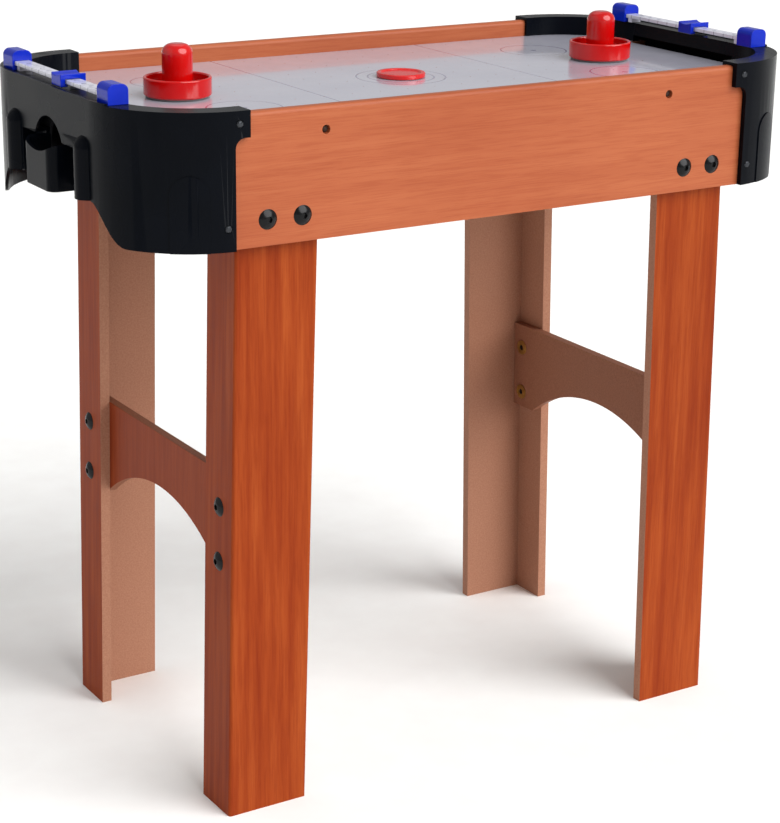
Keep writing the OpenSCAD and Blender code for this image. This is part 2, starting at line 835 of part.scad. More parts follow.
module score_rail() {
    color("#D8D8E4") {
        translate([score_x - rail_w / 2, -rail_half, rail_z]) cube([rail_w, 2 * rail_half, rail_t]);
        for (s = [-1, 1]) translate([score_x - rail_w / 2 + 1, s * rail_foot_y - 3, cap_top])
            cube([rail_w - 2, 6, rail_z - cap_top + eps]);
    }
}

module score_posts() {
    w = post_w;
    r = 6;
    outline = concat(
        [[-w[0] / 2, 0], [w[0] / 2, 0]],
        arc(w[0] / 2 - r, w[2] - r, r, 0, 90, 8),
        arc(-w[0] / 2 + r, w[2] - r, r, 90, 180, 8));
    color("#1030D0")
    for (s = [0, 1]) mirror([0, s, 0]) difference() {
        translate([score_x, 0, cap_top]) along_y(post_y - w[1] / 2, post_y + w[1] / 2) polygon(outline);
        translate([score_x - rail_w / 2 - 0.1, 0, rail_z - 0.1])
            cube([rail_w + 0.2, rail_half + 0.1, rail_t + 0.2]);
        translate([post_screw_x, post_y, cap_top - 1]) cylinder(r = screw_r - 0.1, h = 12);
    }
}

module score_slider() {
    w = slider_w;
    g = slider_slot;
    mid = rail_z + rail_t / 2;
    color("#1030D0")
    difference() {
        translate([score_x - w[0] / 2, slider_rest - w[1] / 2, mid - w[2] / 2 + 1]) cube(w);
        translate([score_x - rail_w / 2 - g, slider_rest - w[1], rail_z - g])
            cube([rail_w + 2 * g, 2 * w[1], rail_t + 2 * g]);
        // open underside between two gripping lips, and a saddle on top
        translate([score_x - rail_w / 2 + 2, slider_rest - w[1], mid - w[2]])
            cube([rail_w - 4, 2 * w[1], w[2]]);
        translate([score_x, slider_rest, mid + w[2] / 2 + 21])
            rotate([0, 90, 0]) cylinder(r = 22, h = 2 * w[0], center = true, $fn = 96);
    }
}

module score_screws() {
    color("#C8CACD")
    four_ways() translate([post_screw_x, post_y, cap_top - shell_t]) pan_screw(11);
}

// ---- Game pieces ----

module pusher() {
    r = pusher_d / 2;
    hr = handle_d / 2;
    floor_h = 4;
    profile = concat(
        [[0, 0], [r - 1.5, 0], [r, 1.5]],
        arc(r - pusher_wall / 2, pusher_rim_h - pusher_wall / 2, pusher_wall / 2, 0, 180, 6),
        arc(r - pusher_wall - 3, floor_h + 3, 3, 0, -90, 4),
        arc(hr + 3, floor_h + 3, 3, -90, -180, 4),
        arc(hr - 9, handle_h - 9, 9, 0, 90, 8),
        [[0, handle_h]]);
    color("#C8101A")
    translate([0, 0, surface_z + air_gap + felt_t]) difference() {
        rotate_extrude($fn = 72) polygon(profile);
        // the handle and cup are hollow below
        translate([0, 0, -1]) cylinder(r = hr - pusher_wall, h = handle_h - 12);
    }
}

module pusher_felt() {
    color("#3A3A3C")
    translate([0, 0, surface_z + air_gap]) difference() {
        cylinder(r = pusher_d / 2 - 2, h = felt_t, $fn = 72);
        translate([0, 0, -1]) cylinder(r = handle_d / 2 + 2, h = felt_t + 2);
    }
}

module puck() {
    r = puck_d / 2;
    ri = r - puck_rim_w;
    color("#D01A1E")
    translate([0, 0, surface_z + air_gap]) rotate_extrude($fn = 72)
        polygon([[0, 0], [r - 0.6, 0], [r, 0.6], [r, puck_t - 0.8], [r - 0.8, puck_t],
                 [ri, puck_t], [ri - 1, puck_t - puck_dish], [0, puck_t - puck_dish]]);
}

// ---- Every piece by its name ----

module at_left() { mirror([1, 0, 0]) children(); }
module at_rear() { mirror([0, 1, 0]) children(); }

side_panel();  // side_panel_front
at_rear() side_panel();  // side_panel_rear
play_board();
at_left() end_cap();  // end_cap_left
end_cap();  // end_cap_right
at_left() goal_box();  // goal_box_left
goal_box();  // goal_box_right
at_left() leg();  // leg_front_left
leg();  // leg_front_right
at_left() at_rear() leg();  // leg_rear_left
at_rear() leg();  // leg_rear_right
at_left() stretcher();  // stretcher_left
stretcher();  // stretcher_right
leg_bolts();
leg_nuts();
stretcher_bolts();
stretcher_nuts();
side_screws();
cap_screws();
batten_long();  // batten_front
at_rear() batten_long();  // batten_rear
at_left() batten_cross();  // batten_left
batten_cross();  // batten_right
air_box_floor();
floor_screws();
fan_frame();
fan_guard();
fan_motor();
fan_rotor();
fan_screws();
switch_box();
power_switch();
power_inlet();
fan_lead();
lead_clips();
at_left() score_rail();  // score_rail_left
score_rail();  // score_rail_right
at_left() score_posts();  // score_posts_left
score_posts();  // score_posts_right
at_left() score_slider();  // score_slider_left
score_slider();  // score_slider_right
score_screws();
translate([-pusher_x, 0, 0]) pusher();  // pusher_left
translate([pusher_x, 0, 0]) pusher();  // pusher_right
translate([-pusher_x, 0, 0]) pusher_felt();  // pusher_felt_left
translate([pusher_x, 0, 0]) pusher_felt();  // pusher_felt_right
puck();
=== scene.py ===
import json
import math
import bmesh
import bpy
from mathutils import Matrix, Vector


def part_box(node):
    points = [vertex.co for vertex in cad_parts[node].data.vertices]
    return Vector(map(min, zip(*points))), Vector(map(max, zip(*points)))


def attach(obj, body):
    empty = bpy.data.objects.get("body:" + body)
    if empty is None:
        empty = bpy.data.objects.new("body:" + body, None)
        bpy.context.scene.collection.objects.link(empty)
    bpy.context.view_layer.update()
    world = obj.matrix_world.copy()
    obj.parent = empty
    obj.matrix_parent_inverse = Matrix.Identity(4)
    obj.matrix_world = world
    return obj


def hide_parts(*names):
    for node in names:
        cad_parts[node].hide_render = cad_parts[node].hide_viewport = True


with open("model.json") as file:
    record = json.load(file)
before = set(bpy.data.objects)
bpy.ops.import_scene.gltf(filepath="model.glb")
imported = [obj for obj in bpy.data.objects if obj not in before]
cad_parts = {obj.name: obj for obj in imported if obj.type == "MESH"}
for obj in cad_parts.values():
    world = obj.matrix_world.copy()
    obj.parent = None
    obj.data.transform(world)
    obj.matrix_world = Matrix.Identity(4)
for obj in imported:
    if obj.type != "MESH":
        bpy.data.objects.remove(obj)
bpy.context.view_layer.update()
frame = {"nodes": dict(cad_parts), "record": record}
record = frame["record"]
bodyOf = {node: body for body, nodes in record["behaviour"]["bodies"].items() for node in nodes}
print("frame loaded:", len(frame["nodes"]), "nodes")

perMetre = 1000                # the looks give their sizes in mm
noiseSpan = (0.3, 0.7)         # nearly all of a noise's values lie between these two
mixA, mixB, mixOut = 6, 7, 2   # a Mix node's colour sockets, which share their names with its others


# sRGB hex code to the linear colour that the shaders work in
def toLinear(code):
    parts = [int(code[i:i + 2], 16) / 255 for i in (1, 3, 5)]
    return [c / 12.92 if c <= 0.04045 else ((c + 0.055) / 1.055) ** 2.4 for c in parts] + [1.0]


# colour stops for a ramp, one for each tone
def stopsFor(tones, at=noiseSpan):
    return list(zip(at, tones))


# adds one shader node with its settings, inputs (values or sockets) and colour stops
def addNode(tree, kind, inputs=None, ramp=None, **settings):
    made = tree.nodes.new("ShaderNode" + kind)
    for key, value in settings.items():
        setattr(made, key, value)
    for key, value in (inputs or {}).items():
        if isinstance(value, bpy.types.NodeSocket):
            tree.links.new(value, made.inputs[key])
        else:
            made.inputs[key].default_value = value
    if ramp:
        stops = made.color_ramp.elements
        while len(stops) < len(ramp):
            stops.new(0.5)
        for stop, (at, code) in zip(stops, ramp):
            stop.position = at
            stop.color = toLinear(code)
    return made


# a new material with uniform values on its shader, and the place on the object that its textures follow
def startMaterial(name, values):
    made = bpy.data.materials.new(name)
    made.use_nodes = True
    tree = made.node_tree
    shader = tree.nodes["Principled BSDF"]
    for key, value in values.items():
        shader.inputs[key].default_value = value
    where = addNode(tree, "TexCoord").outputs["Object"]
    return made, tree, shader, where


# noise whose grain is as fine as the given sizes along X, Y and Z, in mm
def grainNoise(tree, where, sizes, detail=4.0, roughness=0.55, distortion=0.0):
    scale = [perMetre / size for size in sizes]
    spread = addNode(tree, "Mapping", {"Vector": where, "Scale": scale})
    noise = addNode(tree, "TexNoise", {"Vector": spread.outputs[0], "Scale": 1.0, "Detail": detail,
                                       "Roughness": roughness, "Distortion": distortion})
    return noise.outputs[0]


# joins a colour, a roughness that wavers between two values, and a relief of some mm to the shader
def joinSurface(tree, shader, colour, wear, rough, height=None, depth=0.0):
    wavering = addNode(tree, "MapRange", {"Value": wear, "From Min": noiseSpan[0], "From Max": noiseSpan[1],
                                          "To Min": rough[0], "To Max": rough[1]})
    tree.links.new(colour, shader.inputs["Base Color"])
    tree.links.new(wavering.outputs[0], shader.inputs["Roughness"])
    if height is not None:
        bump = addNode(tree, "Bump", {"Height": height, "Distance": depth / perMetre})
        tree.links.new(bump.outputs[0], shader.inputs["Normal"])


def addObject(name, data):
    made = bpy.data.objects.new(name, data)
    bpy.context.scene.collection.objects.link(made)
    return made


# ties a piece to the body of a CAD node, and by default puts it in that node's place
def tie(piece, node, instead=True):
    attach(piece, bodyOf[node])
    if instead:
        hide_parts(node)


finish = {
    "weld": 0.03,    # corners closer than this become one, mm
    "flat": 0.6,     # faces that turn by less than this become one, degrees
    "sharp": 32.0,   # edges that turn by more than this are softened and stay crisp, degrees
}


# copies a CAD node, joins its facets, rounds its edges by so many mm in so many steps, and puts the
# copy in its place
def refine(node, material, edge=0.0, steps=2):
    sharp = math.radians(finish["sharp"])
    mesh = frame["nodes"][node].data.copy()
    mesh.name = node + "_finished"
    work = bmesh.new()
    work.from_mesh(mesh)
    bmesh.ops.remove_doubles(work, verts=work.verts, dist=finish["weld"] / perMetre)
    bmesh.ops.dissolve_limit(work, angle_limit=math.radians(finish["flat"]), verts=work.verts,
                             edges=work.edges)
    if edge > 0:
        edges = [e for e in work.edges if len(e.link_faces) == 2 and e.calc_face_angle(0) > sharp]
        bmesh.ops.bevel(work, geom=edges, offset=edge / perMetre, offset_type="OFFSET", segments=steps,
                        profile=0.5, affect="EDGES", clamp_overlap=True)
    bmesh.ops.triangulate(work, faces=[f for f in work.faces if len(f.verts) > 4])
    for face in work.faces:
        face.smooth = True
    work.to_mesh(mesh)
    work.free()
    mesh.set_sharp_from_angle(angle=sharp)
    mesh.materials.clear()
    mesh.materials.append(material)
    piece = addObject(node + "_finished", mesh)
    weigh = piece.modifiers.new("even normals", "WEIGHTED_NORMAL")
    weigh.keep_sharp = True
    tie(piece, node)


# makes one material from its look and finishes every node that is made of it
def dress(nodes, make, look):
    material = make(look)
    for node in nodes:
        refine(node, material, look.get("edge", 0.0), look.get("steps", 2))


shot = {
    "lens": 93.96,                         # mm
    "sensor": 36,                          # mm
    "reach": 60,                           # how far it sees, m
    "place": (-1.0998, -1.7389, 0.9810),   # m
    "yaw": 57.85,                          # from +X towards +Y, degrees
    "pitch": 18.26,                        # downwards, degrees
    "roll": 0.81,                          # degrees
}


def addCamera():
    yaw, pitch, roll = (math.radians(shot[k]) for k in ("yaw", "pitch", "roll"))
    ahead = Vector((math.cos(yaw) * math.cos(pitch), math.sin(yaw) * math.cos(pitch), -math.sin(pitch)))
    side = Vector((math.sin(yaw), -math.cos(yaw), 0))
    above = side.cross(ahead)
    right = math.cos(roll) * side + math.sin(roll) * above
    up = -math.sin(roll) * side + math.cos(roll) * above
    lens = bpy.data.cameras.new("camera")
    lens.lens = shot["lens"]
    lens.sensor_width = shot["sensor"]
    lens.clip_end = shot["reach"]
    camera = addObject("camera", lens)
    camera.matrix_world = Matrix((right, up, -ahead)).transposed().to_4x4()
    camera.location = shot["place"]
    bpy.context.scene.camera = camera


addCamera()
print("camera placed")

studio = {
    "floor": {"name": "painted studio floor, rolled matt", "tones": ["#F6F5F3", "#FAFAF8"],
              "size": 24, "grain": 60, "rough": 0.9},  # size in m, grain in mm
    "world": "#FFFFFF",
    "worldStrength": 0.42,
    "lights": [  # name, kind, place, aim, settings: a sun's angle is its softness
        ("key", "SUN", (1.1, -2.5, 1.9), (0, 0, 0), {"angle": math.radians(60), "energy": 4.1}),
        ("side", "SUN", (-2.6, 0.6, 1.1), (0, 0, 0), {"angle": math.radians(70), "energy": 0.35}),
        ("top", "AREA", (0.3, 0.9, 2.4), (0, 0, 0.6), {"size": 1.2, "energy": 3}),
    ],
}


# seamless painted floor: even and matt, with barely a trace of the roller
def addFloor(look):
    made, tree, shader, where = startMaterial(look["name"], {"Roughness": look["rough"]})
    noise = grainNoise(tree, where, [look["grain"]] * 3)
    tone = addNode(tree, "ValToRGB", {"Fac": noise}, stopsFor(look["tones"]))
    tree.links.new(tone.outputs[0], shader.inputs["Base Color"])
    half = look["size"] / 2
    corners = [(x * half, y * half, 0) for x, y in ((-1, -1), (1, -1), (1, 1), (-1, 1))]
    mesh = bpy.data.meshes.new("floor")
    mesh.from_pydata(corners, [], [(0, 1, 2, 3)])
    mesh.materials.append(made)
    addObject("floor", mesh)


def addLights():
    world = bpy.data.worlds.new("studio")
    world.use_nodes = True
    back = world.node_tree.nodes["Background"]
    back.inputs["Color"].default_value = toLinear(studio["world"])
    back.inputs["Strength"].default_value = studio["worldStrength"]
    bpy.context.scene.world = world
    for name, kind, spot, aim, settings in studio["lights"]:
        lamp = bpy.data.lights.new(name, kind)
        for key, value in settings.items():
            setattr(lamp, key, value)
        light = addObject(name, lamp)
        light.location = spot
        light.rotation_euler = (Vector(aim) - Vector(spot)).to_track_quat("-Z", "Y").to_euler()
    bpy.context.scene.view_settings.view_transform = "Standard"


addFloor(studio["floor"])
addLights()
print("studio lit")

foilPrint = {
    "streak": 7,                         # width of a printed streak, mm
    "pores": 6,                          # pores across a streak
    "drift": 240,                        # size of the slow change in tone, mm
    "toneStops": (0.3, 0.5, 0.72),
    "poreStops": (0.38, 0.52),
    "poreWeight": 0.28,
    "driftTones": ["#F1E8E4", "#FFFFFF"],
    "driftStops": (0.35, 0.65),
    "coatRough": 0.3,
    "facing": 0.45,                      # how squarely a face has to look outwards to be covered
    "relief": 0.05,                      # depth of the embossed pores, mm
}
fibreSize = 1.6                          # speckle of bare fibreboard, mm


# bare fibreboard: a fine felted speckle between two tones
def bareBoard(tree, where, tones):
    fibre = grainNoise(tree, where, [fibreSize] * 3, detail=3)
    return addNode(tree, "ValToRGB", {"Fac": fibre}, stopsFor(tones)).outputs[0]


# wood print: streaks along one axis, darkened by fine pores and by a slow change in tone
def woodPrint(tree, where, look, sizes, fine):
    figure = grainNoise(tree, where, sizes, detail=5, roughness=0.5, distortion=0.15)
    slow = grainNoise(tree, where, [foilPrint["drift"]] * 3, detail=2)
    streaks = addNode(tree, "ValToRGB", {"Fac": figure}, stopsFor(look["tones"], foilPrint["toneStops"]))
    pores = addNode(tree, "ValToRGB", {"Fac": fine},
                    stopsFor([look["pore"], "#FFFFFF"], foilPrint["poreStops"]))
    drift = addNode(tree, "ValToRGB", {"Fac": slow},
                    stopsFor(foilPrint["driftTones"], foilPrint["driftStops"]))
    colour = streaks.outputs[0]
    for shade, weight in ((pores, foilPrint["poreWeight"]), (drift, 1.0)):
        layer = addNode(tree, "Mix", {"Factor": weight, mixA: colour, mixB: shade.outputs[0]},
                        data_type="RGBA", blend_type="MULTIPLY")
        colour = layer.outputs[mixOut]
    return colour


# 1 on faces that look away from the table's middle, and on every face above the height of the wrap
def coveredFaces(tree, where, look):
    shape = addNode(tree, "NewGeometry")
    side = addNode(tree, "VectorMath", {0: where}, operation="SIGN")
    away = addNode(tree, "VectorMath", {0: side.outputs[0], 1: shape.outputs["True Normal"]},
                   operation="MULTIPLY")
    parts = addNode(tree, "SeparateXYZ", {0: away.outputs[0]})
    most = 0.0
    for axis in look["faces"]:
        most = addNode(tree, "Math", {0: most, 1: parts.outputs[axis]}, operation="MAXIMUM").outputs[0]
    outer = addNode(tree, "Math", {0: most, 1: foilPrint["facing"]}, operation="GREATER_THAN")
    height = addNode(tree, "SeparateXYZ", {0: where}).outputs["Z"]
    above = addNode(tree, "Math", {0: height, 1: look["wrap"]}, operation="GREATER_THAN")
    return addNode(tree, "Math", {0: outer.outputs[0], 1: above.outputs[0]}, operation="MAXIMUM").outputs[0]


# printed wood foil on fibreboard: its streaks run so many mm along one axis
def foilBoard(look):
    gloss = {"Coat Weight": look["coat"], "Coat Roughness": foilPrint["coatRough"],
             "Specular IOR Level": look["gloss"]}
    made, tree, shader, where = startMaterial(look["name"], gloss)
    sizes = [look["run"] if axis == look["along"] else foilPrint["streak"] for axis in "XYZ"]
    fine = grainNoise(tree, where, [size / foilPrint["pores"] for size in sizes], detail=3)
    colour = addNode(tree, "Mix", {"Factor": coveredFaces(tree, where, look),
                                   mixA: bareBoard(tree, where, look["board"]),
                                   mixB: woodPrint(tree, where, look, sizes, fine)}, data_type="RGBA")
    joinSurface(tree, shader, colour.outputs[mixOut], fine, look["rough"], fine, foilPrint["relief"])
    return made


noWrap = 9  # a height above the whole table, for boards with bare inner faces, m

sidePanels = {
    # foil-wrapped board, pressed round its top edge: soft sheen, long reddish streaks along the table
    "name": "fibreboard panel wrapped in printed cherry foil",
    "tones": ["#A15534", "#A55937", "#AA5F3C"],
    "pore": "#D8B2A0",
    "board": ["#9A6A54", "#AA7A62"],
    "wrap": 0.6,  # height above which the foil covers every face, m
    "along": "X", "run": 190, "faces": "YZ",
    "rough": (0.38, 0.48), "coat": 0.08, "gloss": 0.16, "edge": 0.4,
}
dress(["side_panel_front", "side_panel_rear"], foilBoard, sidePanels)

legs = {
    # grooved and folded board: the print runs up the leg, a shade deeper than the panels
    "name": "folded fibreboard leg wrapped in printed cherry foil",
    "tones": ["#83300D", "#8F3B13", "#9C481C"],
    "pore": "#CFA592",
    "board": ["#9A6A54", "#AA7A62"],
    "wrap": noWrap,
    "along": "Z", "run": 170, "faces": "YX",
    "rough": (0.4, 0.5), "coat": 0.02, "gloss": 0.08, "edge": 0.5,
}
dress(["leg_front_left", "leg_front_right", "leg_rear_left", "leg_rear_right"], foilBoard, legs)

stretchers = {
    # sawn board with foil on its outer face: the print runs upright, edges left bare
    "name": "sawn fibreboard stretcher faced with printed cherry foil",
    "tones": ["#82351A", "#8A3C1E", "#924425"],
    "pore": "#CBA08C",
    "board": ["#845440", "#94634C"],
    "wrap": noWrap,
    "along": "Z", "run": 150, "faces": "YX",
    "rough": (0.42, 0.52), "coat": 0.02, "gloss": 0.08, "edge": 0.4,
}
dress(["stretcher_left", "stretcher_right"], foilBoard, stretchers)
print("boards finished")

mouldDrift = 70  # size of the slow change in a moulding's tone and gloss, mm


# moulded plastic: one colour right through, with the fine texture and depth of its mould in mm
def moulded(look):
    made, tree, shader, where = startMaterial(look["name"], look["shader"])
    fine = grainNoise(tree, where, [look["texture"]] * 3, detail=3)
    slow = grainNoise(tree, where, [mouldDrift] * 3, detail=2)
    tone = addNode(tree, "ValToRGB", {"Fac": slow}, stopsFor(look["tones"]))
    joinSurface(tree, shader, tone.outputs[0], slow, look["rough"], fine, look["depth"])
    return made


endCaps = {
    # injection-moulded in a lightly sparked tool: near black, with soft wide highlights on its edges
    "name": "black ABS, injection-moulded in a lightly sparked tool",
    "tones": ["#04060B", "#060910"],
    "rough": (0.24, 0.3), "texture": 0.5, "depth": 0.012, "edge": 0.9, "steps": 3,
    "shader": {"IOR": 1.54, "Specular IOR Level": 0.055},
}
dress(["end_cap_left", "end_cap_right"], moulded, endCaps)

goalBoxes = {
    # plain inner moulding: matt dark grey, never meant to be seen
    "name": "dark grey polystyrene, moulded in a matt tool",
    "tones": ["#1B1B1D", "#232326"],
    "rough": (0.52, 0.62), "texture": 0.8, "depth": 0.04, "edge": 0.4,
    "shader": {"IOR": 1.59},
}
dress(["goal_box_left", "goal_box_right"], moulded, goalBoxes)
print("caps finished")

playBoard = {
    # gloss film laminated on board: clear reflections, thin printed lines under the gloss
    "name": "fibreboard laminated with printed gloss film",
    "film": ["#B2B2C0", "#BABAC6"],
    "drift": (140, 90, 90),           # size of the slow change in the film's tone, mm
    "ink": "#5E5880",
    "inkWeight": 0.6,
    "edgeTones": ["#8A5640", "#9A664C"],
    "rings": [43, 32],                # about the centre, mm
    "faceOff": (211, 77, 34, 3),      # places along and across, ring and spot radius, mm
    "zone": 120,                      # of the two lines across, mm
    "line": 0.9,                      # half the width of a printed line, mm
    "filmed": 0.5,                    # how squarely a face has to look up to carry the film
    "rough": (0.14, 0.2), "scuffs": 20,
    "shader": {"Coat Weight": 0.6, "Coat Roughness": 0.05},
}


# 1 on the printed lines, which are the same in all four quarters of the board
def printedLines(tree, where, look):
    folded = addNode(tree, "VectorMath", {0: where}, operation="ABSOLUTE")
    parts = addNode(tree, "SeparateXYZ", {0: folded.outputs[0]})
    along, across = parts.outputs["X"], parts.outputs["Y"]
    flat = addNode(tree, "CombineXYZ", {"X": along, "Y": across, "Z": 0.0}).outputs[0]
    faceOffX, faceOffY, ring, spot = (size / perMetre for size in look["faceOff"])
    toMiddle = addNode(tree, "VectorMath", {0: flat, 1: (0, 0, 0)}, operation="DISTANCE")
    toFaceOff = addNode(tree, "VectorMath", {0: flat, 1: (faceOffX, faceOffY, 0)}, operation="DISTANCE")
    fromMiddle, fromFaceOff = toMiddle.outputs["Value"], toFaceOff.outputs["Value"]
    half = look["line"] / perMetre
    lines = [(fromMiddle, radius / perMetre, half) for radius in look["rings"]]
    lines += [(fromFaceOff, ring, half), (fromFaceOff, 0.0, spot), (along, look["zone"] / perMetre, half)]
    ink = 0.0
    for value, at, width in lines:
        mark = addNode(tree, "Math", {0: value, 1: at, 2: width}, operation="COMPARE").outputs[0]
        ink = addNode(tree, "Math", {0: ink, 1: mark}, operation="MAXIMUM").outputs[0]
    return ink


def playSurface(look):
    made, tree, shader, where = startMaterial(look["name"], look["shader"])
    slow = grainNoise(tree, where, look["drift"], detail=2)
    film = addNode(tree, "ValToRGB", {"Fac": slow}, stopsFor(look["film"]))
    weight = addNode(tree, "Math", {0: printedLines(tree, where, look), 1: look["inkWeight"]},
                     operation="MULTIPLY")
    printed = addNode(tree, "Mix", {"Factor": weight.outputs[0], mixA: film.outputs[0],
                                    mixB: toLinear(look["ink"])}, data_type="RGBA")
    shape = addNode(tree, "NewGeometry")
    up = addNode(tree, "SeparateXYZ", {0: shape.outputs["True Normal"]}).outputs["Z"]
    isTop = addNode(tree, "Math", {0: up, 1: look["filmed"]}, operation="GREATER_THAN")
    colour = addNode(tree, "Mix", {"Factor": isTop.outputs[0],
                                   mixA: bareBoard(tree, where, look["edgeTones"]),
                                   mixB: printed.outputs[mixOut]}, data_type="RGBA")
    scuffs = grainNoise(tree, where, [look["scuffs"]] * 3)
    joinSurface(tree, shader, colour.outputs[mixOut], scuffs, look["rough"])
    return made


dress(["play_board"], playSurface, playBoard)
print("play board finished")


# bare wood or pressed board: its fibres' length, width and thickness in mm are the grain
def bareWood(look):
    made, tree, shader, where = startMaterial(look["name"], {})
    noise = grainNoise(tree, where, look["grain"], detail=5, distortion=look["waver"])
    tone = addNode(tree, "ValToRGB", {"Fac": noise}, stopsFor(look["tones"]))
    joinSurface(tree, shader, tone.outputs[0], noise, look["rough"], noise, look["depth"])
    return made


battens = {
    # planed softwood: pale, open grain with darker late-wood lines
    "name": "planed pine batten",
    "tones": ["#A57B4C", "#C9A06F"],
    "grain": (120, 4, 4), "waver": 0.8, "rough": (0.6, 0.75), "depth": 0.08, "edge": 0.6,
}
dress(["batten_front", "batten_rear", "batten_left", "batten_right"], bareWood, battens)

airBoxFloor = {
    # pressed hardboard: brown, smooth, with a faint felted mottle
    "name": "pressed hardboard, smooth side down",
    "tones": ["#7F573A", "#946A48"],
    "grain": (5, 5, 5), "waver": 0.2, "rough": (0.45, 0.6), "depth": 0.04, "edge": 0.3,
}
dress(["air_box_floor"], bareWood, airBoxFloor)
print("air box finished")

platingRelief = 0.01  # mm


# metal with its plating or oxide, faintly clouded in patches of some mm as it comes from the barrel
def platedMetal(look):
    made, tree, shader, where = startMaterial(look["name"], look["shader"])
    noise = grainNoise(tree, where, [look["patch"]] * 3, detail=3)
    tone = addNode(tree, "ValToRGB", {"Fac": noise}, stopsFor(look["tones"]))
    joinSurface(tree, shader, tone.outputs[0], noise, look["rough"], noise, platingRelief)
    return made


bolts = {
    # black oxide over rolled steel: dark, with a small bright highlight on the crown
    "name": "button-head steel bolt, black oxide",
    "tones": ["#060607", "#0B0B0D"],
    "patch": 3, "rough": (0.18, 0.26), "edge": 0.25,
    "shader": {"Metallic": 0.1, "Specular IOR Level": 0.25},
}
dress(["leg_bolts", "stretcher_bolts"], platedMetal, bolts)

teeNuts = {
    # stamped steel in yellow zinc: pale brass tint, slightly clouded
    "name": "stamped tee nut, yellow zinc plated",
    "tones": ["#B1934C", "#CDB06A"],
    "patch": 2, "rough": (0.3, 0.42), "edge": 0.2, "shader": {"Metallic": 1.0},
}
dress(["leg_nuts", "stretcher_nuts"], platedMetal, teeNuts)

sideScrews = {
    # bronzed to sink into the foil: nearly brown-black in its recess
    "name": "pan-head screw, bronzed steel",
    "tones": ["#2A1A15", "#38251D"],
    "patch": 2, "rough": (0.35, 0.45), "edge": 0.15, "shader": {"Metallic": 0.7},
}
dress(["side_screws"], platedMetal, sideScrews)

capScrews = {
    # phosphated steel, rubbed on its crown: dark grey with a small glint against the black moulding
    "name": "pan-head screw, black phosphate",
    "tones": ["#34363A", "#46484C"],
    "patch": 2, "rough": (0.2, 0.3), "edge": 0.15, "shader": {"Metallic": 0.9},
}
dress(["cap_screws"], platedMetal, capScrews)

zincScrews = {
    # bright zinc: cool and mirror-like but for fine barrel marks
    "name": "pan-head screw, bright zinc plated",
    "tones": ["#B9B8B4", "#D2D1CE"],
    "patch": 2, "rough": (0.22, 0.32), "edge": 0.15, "shader": {"Metallic": 1.0},
}
dress(["floor_screws", "fan_screws", "score_screws"], platedMetal, zincScrews)
print("fixings finished")

fanPlastic = {
    # glass-filled black plastic: dry and matt
    "name": "glass-filled polyester, moulded matt",
    "tones": ["#101011", "#161617"],
    "rough": (0.5, 0.6), "texture": 0.6, "depth": 0.03, "edge": 0.3, "shader": {"IOR": 1.55},
}
dress(["fan_frame"], moulded, fanPlastic)

rotorPlastic = {
    # smooth-moulded blades: a little glossier than the frame
    "name": "black polypropylene rotor, moulded satin",
    "tones": ["#18181A", "#1F1F22"],
    "rough": (0.36, 0.46), "texture": 1.2, "depth": 0.02, "edge": 0.2, "shader": {"IOR": 1.49},
}
dress(["fan_rotor"], moulded, rotorPlastic)

fanMotor = {
    # enamelled windings dipped in varnish: warm copper with a wet gloss
    "name": "varnished copper winding on a steel core",
    "tones": ["#8A4A22", "#BC7038"],
    "patch": 1, "rough": (0.25, 0.4), "edge": 0.2, "shader": {"Metallic": 1.0},
}
dress(["fan_motor"], platedMetal, fanMotor)

fanGuard = {
    # drawn wire, nickel plated: bright thin highlights along each ring
    "name": "drawn steel wire, nickel plated",
    "tones": ["#BDBEC1", "#D4D5D8"],
    "patch": 6, "rough": (0.12, 0.2), "edge": 0.3, "steps": 3, "shader": {"Metallic": 1.0},
}
dress(["fan_guard"], platedMetal, fanGuard)

switchBox = {
    # small sparked housing: matt black
    "name": "black ABS housing, sparked",
    "tones": ["#141416", "#1A1A1C"],
    "rough": (0.45, 0.55), "texture": 0.4, "depth": 0.03, "edge": 0.6, "shader": {"IOR": 1.54},
}
dress(["switch_box"], moulded, switchBox)

rocker = {
    # polished red polycarbonate: a clear gloss with some depth
    "name": "red polycarbonate rocker, polished",
    "tones": ["#9E1212", "#B01818"],
    "rough": (0.12, 0.18), "texture": 3, "depth": 0.01, "edge": 0.4,
    "shader": {"IOR": 1.58, "Coat Weight": 0.4, "Subsurface Weight": 0.08, "Subsurface Scale": 0.002},
}
dress(["power_switch"], moulded, rocker)

inlet = {
    # polished black nylon: a dark ring with a gloss edge
    "name": "black nylon barrel socket, moulded gloss",
    "tones": ["#0C0C0D", "#121213"],
    "rough": (0.2, 0.28), "texture": 2, "depth": 0.01, "edge": 0.25, "shader": {"IOR": 1.53},
}
dress(["power_inlet"], moulded, inlet)

fanLead = {
    # extruded sheath: dull red with a soft rubbery shine
    "name": "extruded red PVC sheath",
    "tones": ["#8C1C1C", "#9C2622"],
    "rough": (0.4, 0.5), "texture": 2, "depth": 0.02, "shader": {"IOR": 1.53},
}
dress(["fan_lead"], moulded, fanLead)

leadClips = {
    # natural nylon: off-white and slightly translucent
    "name": "natural nylon clip, moulded",
    "tones": ["#DEDDD6", "#EAE9E3"],
    "rough": (0.4, 0.5), "texture": 2, "depth": 0.02, "edge": 0.3,
    "shader": {"IOR": 1.53, "Subsurface Weight": 0.1, "Subsurface Scale": 0.002},
}
dress(["lead_clips"], moulded, leadClips)
print("fan and power finished")

